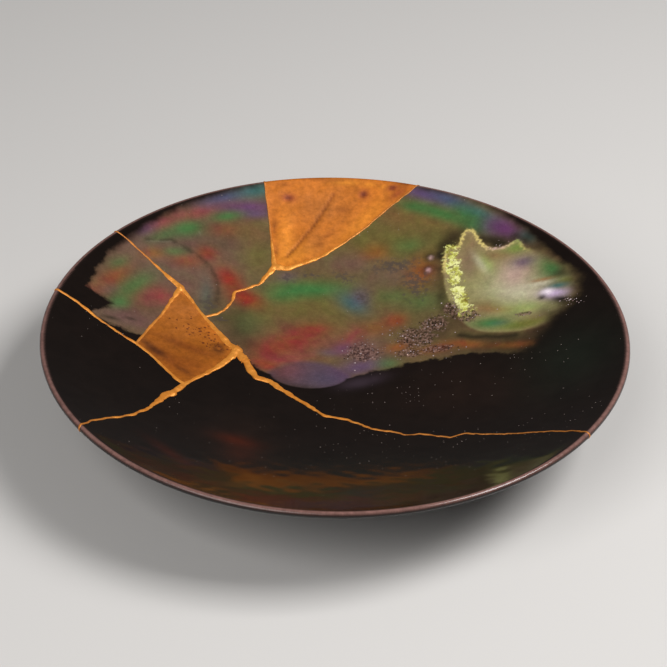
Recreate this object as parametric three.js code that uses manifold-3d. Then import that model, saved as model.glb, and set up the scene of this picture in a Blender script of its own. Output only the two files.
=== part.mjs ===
// Kintsugi plate: a thin turned dish with a dark iridescent glaze that broke into five sherds.
// Gold lacquer fills the cracks, and two gold fills stand for lost pieces, at the rim and in the wall.
// Millimetres, +Z up. The origin is on the table, under the middle of the foot ring, and -Y is the front.

import * as THREE from "three";
import { mergeVertices } from "three/addons/utils/BufferGeometryUtils.js";
import Module from "manifold-3d";

const wasm = await Module();
wasm.setup();

// Driving dimensions of the dish
const RIM_RADIUS = 90;
const PLATE_HEIGHT = 30;
const LIP_THICKNESS = 2;
const FLOOR_THICKNESS = 4.6;
const FOOT_RADIUS = 30;
const FOOT_WIDTH = 5;
const FOOT_RECESS = 4.4;
const FOOT_TAPER = 0.4; // how far each side of the foot leans in on its way down
const FOOT_CHAMFER = 0.8;
const WALL_POWER = 2.2; // above 2 the floor is flatter and the wall turns up later

// Driving dimensions of the mend
const SEAM_PROUD = 0.45; // how far the gold stands above the glaze
const TABLE_CLEARANCE = 0.4; // the gold on the foot stays this far off the table
const JOINT_GAP = 0.2; // between the gold and each broken edge

// Fineness of the solids
const TURN_SEGMENTS = 84;
const WALL_STEPS = 10;
const STEP_CLOSING = 1.35; // above 1 the wall's steps close up towards the lip, where it turns most
const LIP_STEPS = 4;
const JUNCTION_SIDES = 12;
const SAME_POINT = 1e-4; // points closer than this are one point

// The middle of the wall's thickness, from the axis to the centre of the lip's round
const LIP_CENTRE_RADIUS = RIM_RADIUS - LIP_THICKNESS / 2;
const LIP_CENTRE_HEIGHT = PLATE_HEIGHT - LIP_THICKNESS / 2;
const FLOOR_MIDDLE = FOOT_RECESS + FLOOR_THICKNESS / 2;
const WALL_RISE = LIP_CENTRE_HEIGHT - FLOOR_MIDDLE;
const LIP_SLOPE = (WALL_RISE * WALL_POWER) / LIP_CENTRE_RADIUS;

const middleHeight = (r) => FLOOR_MIDDLE + WALL_RISE * (r / LIP_CENTRE_RADIUS) ** WALL_POWER;
const middleSlope = (r) => LIP_SLOPE * (r / LIP_CENTRE_RADIUS) ** (WALL_POWER - 1);
const wallThickness = (r) => {
  const share = (r / LIP_CENTRE_RADIUS) ** 2;
  return FLOOR_THICKNESS + (LIP_THICKNESS - FLOOR_THICKNESS) * share;
};

// The point off the wall's middle at radius r. Side +1 is the inside of the dish, and -1 the underside.
function wallPoint(r, side, grow) {
  const tilt = Math.atan(middleSlope(r));
  const offset = side * (wallThickness(r) / 2 + grow);
  return new THREE.Vector2(r - offset * Math.sin(tilt), middleHeight(r) + offset * Math.cos(tilt));
}

// The half section of the dish, from the axis up over the lip and back under the foot to the axis.
// A grown section stands off the dish by grow all over, apart from a foot that stays clear of the table.
function dishSection(grow) {
  const footOuter = FOOT_RADIUS + grow;
  const footInner = FOOT_RADIUS - FOOT_WIDTH - grow;
  const base = grow > 0 ? TABLE_CLEARANCE : 0;

  const inside = [];
  const underside = [];
  for (let i = 0; i <= WALL_STEPS; i++) {
    const share = 1 - (1 - i / WALL_STEPS) ** STEP_CLOSING;
    inside.push(wallPoint(LIP_CENTRE_RADIUS * share, 1, grow));
    underside.unshift(wallPoint(footOuter + (LIP_CENTRE_RADIUS - footOuter) * share, -1, grow));
  }
  inside[0].x = 0;

  const lip = [];
  const lipRound = LIP_THICKNESS / 2 + grow;
  const lipStart = Math.PI / 2 + Math.atan(LIP_SLOPE);
  for (let i = 1; i < LIP_STEPS; i++) {
    const angle = lipStart - (Math.PI * i) / LIP_STEPS;
    const x = LIP_CENTRE_RADIUS + lipRound * Math.cos(angle);
    lip.push(new THREE.Vector2(x, LIP_CENTRE_HEIGHT + lipRound * Math.sin(angle)));
  }

  const foot = [
    new THREE.Vector2(footOuter - FOOT_TAPER, base + FOOT_CHAMFER),
    new THREE.Vector2(footOuter - FOOT_TAPER - FOOT_CHAMFER, base),
    new THREE.Vector2(footInner + FOOT_TAPER + FOOT_CHAMFER, base),
    new THREE.Vector2(footInner + FOOT_TAPER, base + FOOT_CHAMFER),
    new THREE.Vector2(footInner, FOOT_RECESS - grow),
    new THREE.Vector2(0, FOOT_RECESS - grow),
  ];
  return [...inside, ...lip, ...underside, ...foot];
}

// A closed geometry as a solid that can be cut and joined
function toSolid(geometry) {
  geometry.deleteAttribute("normal");
  geometry.deleteAttribute("uv");
  const merged = mergeVertices(geometry, SAME_POINT);
  const corners = merged.index.array;
  const kept = [];
  for (let i = 0; i < corners.length; i += 3) {
    const [a, b, c] = corners.slice(i, i + 3);
    if (a !== b && b !== c && c !== a) kept.push(a, b, c);
  }
  const mesh = new wasm.Mesh({
    numProp: 3,
    vertProperties: merged.attributes.position.array,
    triVerts: new Uint32Array(kept),
  });
  return new wasm.Manifold(mesh);
}

// A solid as a geometry again
function toGeometry(solid) {
  const mesh = solid.getMesh();
  const geometry = new THREE.BufferGeometry();
  geometry.setAttribute("position", new THREE.BufferAttribute(mesh.vertProperties, 3));
  geometry.setIndex(new THREE.BufferAttribute(mesh.triVerts, 1));
  geometry.computeVertexNormals();
  return geometry;
}

// The dish, or a grown copy of it, turned about Z
function turnedDish(grow) {
  const section = dishSection(grow).reverse();
  const turned = new THREE.LatheGeometry(section, TURN_SEGMENTS);
  turned.rotateX(Math.PI / 2);
  return toSolid(turned);
}

// The mend's junctions, seen from above
const FILL_TOP = [-50.3, 36.8];
const FILL_LEFT = [-62, 5];
const FILL_BOTTOM = [-46, -10];
const FILL_RIGHT = [-30.8, 12.2];
const FILL_FORK = [-42.1, 25.7];
const WEDGE_TIP = [-20.4, 53];
const LONG_SEAM_BEND = [-2.8, -19.1];

// The round of gold at each junction, by its diameter. It also closes the corners where cracks meet.
const JUNCTION_ROUNDS = [
  [FILL_TOP, 2],
  [FILL_LEFT, 1.6],
  [FILL_BOTTOM, 2.6],
  [FILL_RIGHT, 3.4],
  [FILL_FORK, 2],
  [WEDGE_TIP, 2.4],
];

// Every crack from above: the points where it kinks, and its width in gold at each end.
// A crack that meets the rim runs a little past it.
const CRACKS = {
  upperLeft: {
    route: [[-75, 53.7], [-62, 46], FILL_TOP],
    widths: [0.9, 1.6],
  },
  left: {
    route: [[-91.5, 19], [-77.2, 13.2], [-69.4, 8.6], FILL_LEFT],
    widths: [1.1, 1.3],
  },
  fillUpperLeft: {
    route: [FILL_TOP, [-52.5, 30.8], [-58.2, 15.5], FILL_LEFT],
    widths: [1.2, 1.1],
  },
  fillLowerLeft: {
    route: [FILL_LEFT, [-57.5, 1.8], [-52.9, -3.3], FILL_BOTTOM],
    widths: [1.3, 1.6],
  },
  fillUpperRight: {
    route: [FILL_TOP, FILL_FORK, [-35.8, 17.6], FILL_RIGHT],
    widths: [1.7, 2.8],
  },
  fillLowerRight: {
    route: [FILL_RIGHT, [-38.5, -0.4], FILL_BOTTOM],
    widths: [2.4, 1.7],
  },
  betweenFills: {
    route: [FILL_FORK, [-35.5, 31.3], [-33.2, 36], [-32.9, 39.5], [-25.4, 44.4], WEDGE_TIP],
    widths: [0.9, 2],
  },
  wedgeLeft: {
    route: [[-25.4, 88.6], [-21.7, 63.3], WEDGE_TIP],
    widths: [0.8, 1.2],
  },
  wedgeRight: {
    route: [WEDGE_TIP, [-14, 53.6], [-4.9, 58.6], [10, 70.6], [30.5, 87.3]],
    widths: [1.6, 0.8],
  },
  frontLeft: {
    route: [
      FILL_BOTTOM, [-49.1, -16.6], [-51.4, -18.6], [-53.4, -24],
      [-58.9, -34.5], [-65.4, -41.3], [-74, -55.5],
    ],
    widths: [2.8, 0.8],
  },
  longSeamStart: {
    route: [FILL_RIGHT, [-24.3, -0.6], [-19.6, -2.2], LONG_SEAM_BEND],
    widths: [2.7, 1.2],
  },
  longSeamEnd: {
    route: [
      LONG_SEAM_BEND, [3.7, -20.8], [13.2, -27.6], [26, -31.4],
      [35.2, -35.5], [38.7, -34.1], [69.4, -48.4], [76, -55],
    ],
    widths: [1.2, 0.8],
  },
};

// Cracks are cut by upright prisms that reach past the plate above and below
const PRISM_HEIGHT = 2 * PLATE_HEIGHT;
const PRISM_MIDDLE = PLATE_HEIGHT / 2;

// One crack's plan outline, tapering evenly from end to end, cut right through the plate
function crackPrism({ route, widths }, grow) {
  const points = route.map(([x, y]) => new THREE.Vector2(x, y));
  const left = [];
  const right = [];
  points.forEach((point, i) => {
    const before = points[Math.max(i - 1, 0)];
    const after = points[Math.min(i + 1, points.length - 1)];
    const along = after.clone().sub(before).normalize();
    const across = new THREE.Vector2(-along.y, along.x);
    const width = THREE.MathUtils.lerp(widths[0], widths[1], i / (points.length - 1));
    const reach = width / 2 + grow;
    left.push(point.clone().addScaledVector(across, reach));
    right.unshift(point.clone().addScaledVector(across, -reach));
  });
  const outline = new THREE.Shape([...left, ...right]);
  const prism = new THREE.ExtrudeGeometry(outline, { depth: PRISM_HEIGHT, bevelEnabled: false });
  prism.translate(0, 0, PRISM_MIDDLE - PRISM_HEIGHT / 2);
  return toSolid(prism);
}

// An upright round prism through the plate
function roundPrism([x, y], diameter, grow) {
  const radius = diameter / 2 + grow;
  const round = new THREE.CylinderGeometry(radius, radius, PRISM_HEIGHT, JUNCTION_SIDES);
  round.rotateX(Math.PI / 2);
  round.translate(x, y, PRISM_MIDDLE);
  return toSolid(round);
}

// All the cracks together, each grown sideways by grow
function crackNetwork(grow) {
  const cracks = Object.values(CRACKS).map((crack) => crackPrism(crack, grow));
  const rounds = JUNCTION_ROUNDS.map(([place, diameter]) => roundPrism(place, diameter, grow));
  return [...cracks, ...rounds].reduce((joined, prism) => joined.add(prism));
}

// Each broken piece and fill, by a place that it covers as seen from above
const PIECE_PLACES = {
  sherd_left: [-70, 25],
  sherd_back_left: [-38, 60],
  sherd_right: [30, 20],
  sherd_front: [0, -60],
  sherd_front_left: [-70, -15],
  rim_fill: [0, 78],
  well_fill: [-47, 15],
};
const PROBE_DIAMETER = 1;

// The one of the separate bodies that lies over a place
function bodyAt(bodies, place) {
  const probe = roundPrism(place, PROBE_DIAMETER, 0);
  return bodies.find((body) => body.intersect(probe).volume() > 0);
}

const glaze = new THREE.MeshStandardMaterial({ color: 0x1e1714, roughness: 0.14, metalness: 0 });
const goldLacquer = new THREE.MeshStandardMaterial({ color: 0xd1913f, roughness: 0.36, metalness: 0.8 });
const goldLeaf = new THREE.MeshStandardMaterial({ color: 0xb87a2a, roughness: 0.5, metalness: 0.6 });

const plate = new THREE.Group();
plate.name = "kintsugi_plate";

function addPiece(name, solid, material) {
  const mesh = new THREE.Mesh(toGeometry(solid), material);
  mesh.name = name;
  plate.add(mesh);
}

const broken = turnedDish(0).subtract(crackNetwork(JOINT_GAP)).decompose();
for (const [name, place] of Object.entries(PIECE_PLACES)) {
  addPiece(name, bodyAt(broken, place), name.endsWith("_fill") ? goldLeaf : glaze);
}
addPiece("gold_seams", turnedDish(SEAM_PROUD).intersect(crackNetwork(0)), goldLacquer);

export default plate;
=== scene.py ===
# Kintsugi plate, dressed: five glazed sherds, two gold fills and the raised gold seams between them.
# Plan sizes are in millimetres, seen from above with -Y at the front. Meshes are made in metres.

import math

import bpy
import numpy as np
from mathutils import Matrix, Vector
from mathutils.geometry import delaunay_2d_cdt


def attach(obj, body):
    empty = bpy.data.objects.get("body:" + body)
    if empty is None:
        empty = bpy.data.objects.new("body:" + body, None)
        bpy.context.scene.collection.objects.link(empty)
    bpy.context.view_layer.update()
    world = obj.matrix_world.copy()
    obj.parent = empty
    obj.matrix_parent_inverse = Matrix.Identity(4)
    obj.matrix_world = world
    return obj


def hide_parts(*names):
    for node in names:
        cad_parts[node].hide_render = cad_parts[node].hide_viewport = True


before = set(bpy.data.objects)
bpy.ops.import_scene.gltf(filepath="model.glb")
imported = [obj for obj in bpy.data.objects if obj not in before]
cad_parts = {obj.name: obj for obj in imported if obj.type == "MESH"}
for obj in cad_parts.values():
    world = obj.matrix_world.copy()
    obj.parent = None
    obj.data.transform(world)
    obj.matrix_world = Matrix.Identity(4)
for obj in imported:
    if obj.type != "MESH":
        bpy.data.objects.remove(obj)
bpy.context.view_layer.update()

MM = 0.001

# Sizes of the dish, as the solids have them
RIM_RADIUS = 90.0
PLATE_HEIGHT = 30.0
LIP_THICKNESS = 2.0
FLOOR_THICKNESS = 4.6
FOOT_RADIUS = 30.0
FOOT_WIDTH = 5.0
FOOT_RECESS = 4.4
FOOT_TAPER = 0.4
FOOT_CHAMFER = 0.8
FOOT_FILLET = 0.6
WALL_POWER = 2.2
TABLE_CLEARANCE = 0.4

LIP_ROUND = LIP_THICKNESS / 2
LIP_CENTRE_RADIUS = RIM_RADIUS - LIP_ROUND
LIP_CENTRE_HEIGHT = PLATE_HEIGHT - LIP_ROUND
FLOOR_MIDDLE = FOOT_RECESS + FLOOR_THICKNESS / 2
WALL_RISE = LIP_CENTRE_HEIGHT - FLOOR_MIDDLE
LIP_SLOPE = WALL_RISE * WALL_POWER / LIP_CENTRE_RADIUS

# Fineness of the meshes
GRID = 0.8
FINE_GRID = 0.36
SEAM_STEP = 0.34
PROFILE_STEPS = 400
GAP_BATCH = 4000
SEAM_CLEARANCE = 0.22
RIM_CLEARANCE = 0.12
SHARP_ANGLE = 48
ISLAND_FINE = 1.6
LINE_FINE = 1.2
LENS_FINE = 0.8
GRIT_FINE = 0.4
LIP_ANGLES = (122, 106, 90, 75, 60, 46, 33, 21, 10, 0)


# The dish's section

def wall_line(start_radius, side):
    """Radii and heights of one face of the wall, out to the lip. Side 1 is inside, -1 underneath."""
    middle = np.linspace(start_radius, LIP_CENTRE_RADIUS, PROFILE_STEPS)
    share = middle / LIP_CENTRE_RADIUS
    tilt = np.arctan(LIP_SLOPE * share ** (WALL_POWER - 1))
    thickness = FLOOR_THICKNESS + (LIP_THICKNESS - FLOOR_THICKNESS) * share**2
    offset = side * thickness / 2
    height = FLOOR_MIDDLE + WALL_RISE * share**WALL_POWER
    return np.column_stack([middle - offset * np.sin(tilt), height + offset * np.cos(tilt)])


def lip_arc(start_degrees):
    """The lip's round from an angle above or below level, out to its outermost point."""
    angle = np.radians(np.linspace(start_degrees, 0, PROFILE_STEPS))
    radius = LIP_CENTRE_RADIUS + LIP_ROUND * np.cos(angle)
    return np.column_stack([radius, LIP_CENTRE_HEIGHT + LIP_ROUND * np.sin(angle)])


def foot_line():
    """The underside from the axis out over the foot ring to where the wall leaves it."""
    inner = FOOT_RADIUS - FOOT_WIDTH + FOOT_TAPER
    outer = FOOT_RADIUS - FOOT_TAPER
    soft = 0.3 * FOOT_CHAMFER
    return np.array([
        (0, FOOT_RECESS),
        (inner - FOOT_TAPER - FOOT_FILLET, FOOT_RECESS),
        (inner - FOOT_TAPER, FOOT_RECESS - FOOT_FILLET),
        (inner, FOOT_CHAMFER),
        (inner + soft, soft),
        (inner + FOOT_CHAMFER, 0),
        (outer - FOOT_CHAMFER, 0),
        (outer - soft, soft),
        (outer, FOOT_CHAMFER),
        (FOOT_RADIUS, FOOT_RECESS + FOOT_FILLET),
    ])


LIP_TILT = math.degrees(math.atan(LIP_SLOPE))
INSIDE = np.vstack([wall_line(0, 1), lip_arc(90 + LIP_TILT)[1:]])
UNDERSIDE = np.vstack([
    foot_line(),
    wall_line(FOOT_RADIUS + FOOT_FILLET, -1),
    lip_arc(LIP_TILT - 90)[1:],
])


def on_profile(profile, radius, side):
    """Height and outward direction, as (radial, up), of a face of the dish at each radius."""
    along = np.gradient(profile, axis=0)
    along /= np.linalg.norm(along, axis=1, keepdims=True)
    height = np.interp(radius, profile[:, 0], profile[:, 1])
    radial = np.interp(radius, profile[:, 0], -side * along[:, 1])
    up = np.interp(radius, profile[:, 0], side * along[:, 0])
    length = np.hypot(radial, up)
    return height, radial / length, up / length


# Random fields

def swells(places, size, seed, waves=28):
    """Smooth random heights, mostly within 2 either way, with swells about size across."""
    draw = np.random.default_rng(seed)
    total = np.zeros(len(places))
    for _ in range(waves):
        turn, phase = draw.uniform(0, 2 * math.pi, 2)
        number = 2 * math.pi / (size * draw.uniform(0.7, 1.5))
        total += np.sin(number * (places @ (math.cos(turn), math.sin(turn))) + phase)
    return total / math.sqrt(waves / 2)


def smooth_step(values, low, high):
    share = np.clip((values - low) / (high - low), 0, 1)
    return share * share * (3 - 2 * share)


def ridge(gap, reach):
    """1 where the gap is 0, fading smoothly to either side over the reach."""
    return np.exp(-((gap / reach) ** 2))


# Lines and outlines in plan

def line_distance(places, route):
    """Distance from each place to the nearest stretch of a route."""
    route = np.asarray(route, float)
    nearest = np.full(len(places), np.inf)
    for start, end in zip(route[:-1], route[1:]):
        along = end - start
        share = np.clip((places - start) @ along / (along @ along), 0, 1)
        foot = start + share[:, None] * along
        nearest = np.minimum(nearest, np.hypot(*(places - foot).T))
    return nearest


def rounded(outline, passes=2):
    """A closed outline with its corners cut back, pass by pass."""
    outline = np.asarray(outline, float)
    for _ in range(passes):
        following = np.roll(outline, -1, axis=0)
        cut = [0.75 * outline + 0.25 * following, 0.25 * outline + 0.75 * following]
        outline = np.stack(cut, 1).reshape(-1, 2)
    return outline


def depth_inside(places, outline):
    """Distance from each place to a closed outline with rounded corners, above 0 inside it."""
    outline = rounded(outline)
    closed = np.vstack([outline, outline[:1]])
    inside = np.zeros(len(places), bool)
    x, y = places.T
    for (x1, y1), (x2, y2) in zip(closed[:-1], closed[1:]):
        spans = (y1 > y) != (y2 > y)
        crossing = x1 + (y - y1) * (x2 - x1) / (y2 - y1 if y2 != y1 else 1)
        inside ^= spans & (x < crossing)
    return line_distance(places, closed) * np.where(inside, 1, -1)


# The mend in plan: junctions, then every seam's kinks, its widths from start to end and its share of wander

FILL_TOP = (-50.3, 36.8)
FILL_LEFT = (-62, 5)
FILL_BOTTOM = (-46, -10)
FILL_RIGHT = (-30.8, 12.2)
FILL_FORK = (-42.1, 25.7)
WEDGE_TIP = (-20.4, 53)

SEAMS = {
    "upper_left": (
        [(-75, 53.7), (-67.5, 50), (-62, 46), (-55, 40.5), FILL_TOP],
        [0.5, 0.6, 0.8, 2.2],
        0.4,
    ),
    "left": (
        [(-91.5, 19), (-81.7, 15.6), (-77.2, 13.2), (-73.4, 10.5), (-69.4, 8.6), FILL_LEFT],
        [0.8, 0.9, 1.0, 0.8, 1.0],
        0.6,
    ),
    "fill_upper_left": (
        [FILL_TOP, (-52.5, 30.8), (-55.5, 22), (-58.2, 15.5), FILL_LEFT],
        [1.9, 0.8, 0.8, 0.8],
        0.3,
    ),
    "fill_lower_left": (
        [FILL_LEFT, (-57.5, 1.8), (-52.9, -3.3), (-48.3, -8.4), FILL_BOTTOM],
        [1.0, 0.9, 1.0, 1.4],
        0.5,
    ),
    "fill_upper_right": (
        [FILL_TOP, (-46.2, 31.8), FILL_FORK, (-37.6, 20.1), (-34.1, 15.2), FILL_RIGHT],
        [1.9, 1.0, 1.4, 1.9, 2.8],
        0.7,
    ),
    "fill_lower_right": (
        [FILL_RIGHT, (-34.2, 5.5), (-38.5, -0.4), (-42.8, -5.8), FILL_BOTTOM],
        [2.6, 1.9, 1.2, 1.4],
        0.8,
    ),
    "between_fills": (
        [FILL_FORK, (-38.5, 28), (-35.5, 31.3), (-33.4, 35.6), (-32.9, 39.5), (-29, 42.2),
         (-25.4, 44.4), (-22.4, 49.2), WEDGE_TIP],
        [0.9, 0.7, 0.9, 0.8, 1.1, 2.2],
        0.8,
    ),
    "wedge_left": (
        [(-25.4, 88.6), (-23.2, 74.2), (-21.7, 63.3), WEDGE_TIP],
        [0.55, 0.5, 0.6, 1.8],
        0.2,
    ),
    "wedge_right": (
        [WEDGE_TIP, (-16.5, 52.4), (-11.9, 54.9), (-4.9, 58.6), (3.4, 65.1), (10, 70.6), (17.1, 77.2),
         (30.5, 87.3)],
        [2.2, 1.2, 0.65, 0.55, 0.5],
        0.25,
    ),
    "front_left": (
        [FILL_BOTTOM, (-47.8, -13.7), (-49.1, -16.6), (-51.4, -18.6), (-53.4, -24), (-56.8, -30.9),
         (-58.9, -34.5), (-65.4, -41.3), (-69.4, -46.6), (-74, -55.5)],
        [1.7, 2.6, 1.3, 0.9, 0.75, 0.6, 0.55],
        1.0,
    ),
    "long": (
        [FILL_RIGHT, (-28.6, 8.2), (-26.6, 3.8), (-24.3, -0.6), (-19.6, -2.2), (-15.8, -6.4), (-8.5, -13),
         (-2.8, -19.1), (3.7, -20.8), (8.2, -24.1), (13.2, -27.6), (17.7, -28.7), (21.3, -31.4),
         (26, -31.4), (35.2, -35.5), (38.7, -34.1), (52.9, -39.9), (60.9, -42.8), (69.4, -48.4), (76, -55)],
        [2.8, 2.2, 1.5, 1.1, 0.9, 0.7, 0.6, 0.55, 0.5, 0.5, 0.6],
        1.0,
    ),
}
SEAM_WANDERS = {7: 0.13, 2.4: 0.07}
SEAM_ROUNDING = 5
SEAM_FADE = 4
SEAM_LUMP_SIZE = 4
SEAM_LUMP_SHARE = 0.12
SEAM_ROWS = (-1, -0.82, -0.5, 0, 0.5, 0.82, 1)
BEAD_EDGE = 0.05
BEAD_LEAST = 0.09
BEAD_SHARE = 0.3
END_POINTS = 30
END_OVERLAP = 0.03
END_RIM_MARGIN = 0.3
EDGE_OVERLAP = 0.04
EDGE_RIM_MARGIN = 0.02


def seam_line(route, widths, wander, seed):
    """A seam's middle line at even steps, gently wandering, and half its width at each step."""
    route = np.asarray(route, float)
    reach = np.concatenate([[0], np.cumsum(np.hypot(*np.diff(route, axis=0).T))])
    steps = np.linspace(0, reach[-1], int(reach[-1] / SEAM_STEP) + 1)
    line = np.column_stack([np.interp(steps, reach, route[:, i]) for i in (0, 1)])
    soft = np.ones(SEAM_ROUNDING) / SEAM_ROUNDING
    padded = np.pad(line, ((SEAM_ROUNDING // 2,) * 2, (0, 0)), mode="reflect", reflect_type="odd")
    line = np.column_stack([np.convolve(padded[:, i], soft, "valid") for i in (0, 1)])
    fade = smooth_step(np.minimum(steps, reach[-1] - steps), 0, SEAM_FADE)
    for size, reach_out in SEAM_WANDERS.items():
        sideways = [swells(np.column_stack([steps, steps * 0]), size, seed + i) for i in (0, 1)]
        line += wander * reach_out * fade[:, None] * np.column_stack(sideways)
    even = np.linspace(0, reach[-1], len(widths))
    lumps = 1 + SEAM_LUMP_SHARE * swells(np.column_stack([steps, steps * 0]), SEAM_LUMP_SIZE, seed + 2)
    return line, np.interp(steps, even, widths) / 2 * lumps


seam_lines = [seam_line(*seam, 10 * i) for i, seam in enumerate(SEAMS.values())]
seam_places = np.vstack([line for line, _ in seam_lines])
seam_halves = np.concatenate([half for _, half in seam_lines])


def seam_gap(places):
    """Distance to the nearest edge of gold, below 0 inside it, and half the gold's width there."""
    gap = np.empty(len(places))
    half = np.empty(len(places))
    for start in range(0, len(places), GAP_BATCH):
        part = slice(start, start + GAP_BATCH)
        away = np.hypot(*(places[part, None] - seam_places[None]).transpose(2, 0, 1)) - seam_halves
        near = away.argmin(1)
        gap[part] = away[np.arange(len(near)), near]
        half[part] = seam_halves[near]
    return gap, half


# Areas and lines of the glaze in plan

# Outline of the luster pool: where a light panel's reflection shows the glaze's iridescence, so inside it
# the colour is partly a painted reflection
LUSTER_REFLECTION_POOL = [
    (-78.4, 23), (-79, 27), (-76.7, 32.7), (-75, 39.6), (-72.2, 45.4), (-64.6, 56.8), (-58, 64.7),
    (-50, 72), (-41, 78), (-32, 83), (-22, 86.5), (0, 89), (26, 85.5), (43, 79), (53, 72), (59, 64),
    (63.5, 59), (68, 51), (73, 43), (77, 36), (79, 29), (77, 24), (71, 19), (66, 13), (62, 5), (54, 6),
    (46, 9), (39, 9.5), (26.4, 9), (18, 5.5), (10, 4), (3.5, 0.5), (-8, 0), (-19.4, 1), (-25.2, 4.3),
    (-29, 11), (-45, 12), (-62, 9), (-67.7, 10), (-72.9, 11.4), (-77, 13.5), (-72, 18.8), (-69.8, 21),
    (-74, 22.4),
]
LENS_CENTRE = (-8, 3.3)
LENS_REACH = (12.4, 7.8)
ISLAND = [
    (36.5, 37), (35.2, 46), (35.8, 56), (36.6, 59.4), (40.6, 58.4), (41.6, 62.5), (43, 65.2),
    (45.6, 64.6), (47.2, 60.6), (49, 57), (52, 55), (56, 54.8), (60.2, 57), (61.5, 52.3), (64.5, 50.5),
    (70, 45), (75, 38), (77.5, 29), (75, 23), (66, 16), (59, 15.5), (53, 17), (46, 19.5), (41.5, 24),
    (39.5, 30),
]
VEIN = [(-62.4, 52.9), (-54.5, 55.6), (-48.6, 53.5), (-43, 50.2), (-39.5, 44.9), (-38.2, 39.3), (-38.4, 34)]
SHORE = [(40, 19.6), (44, 17.6), (48, 17), (52, 15.4), (57, 14.6)]
BAND_LEFT = [(38.4, 58), (38.4, 50), (39.2, 42), (41, 34), (42.6, 29)]

# Colours of the glaze, on the screen's 0 to 255 scale
COLOURS = {
    "muted": (108, 88, 58),
    "blue": (72, 80, 116),
    "violet": (94, 70, 110),
    "purple": (104, 60, 102),
    "mauve": (116, 82, 82),
    "rose": (144, 68, 64),
    "red": (148, 50, 36),
    "orange": (148, 82, 42),
    "ochre": (124, 96, 54),
    "olive": (110, 106, 44),
    "green": (66, 116, 62),
    "teal": (62, 104, 100),
    "umber": (42, 36, 24),
    "lime": (158, 178, 100),
    "grass": (114, 140, 66),
    "sand": (150, 130, 92),
    "milk": (212, 204, 176),
    "highlight_white": (255, 240, 250),
    "pink": (204, 164, 160),
    "highlight_lilac": (206, 180, 214),
    "lavender": (86, 70, 84),
    "black": (21, 14, 11),
    "brown": (40, 25, 18),
    "moss": (22, 27, 20),
    "russet": (74, 26, 10),
    "gold": (206, 116, 32),
    "bright_gold": (236, 146, 44),
    "tan": (190, 112, 46),
    "bronze": (172, 96, 20),
    "rust": (128, 62, 10),
    "soot": (74, 34, 10),
    "wine": (150, 58, 40),
    "straw": (236, 214, 130),
}
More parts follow.
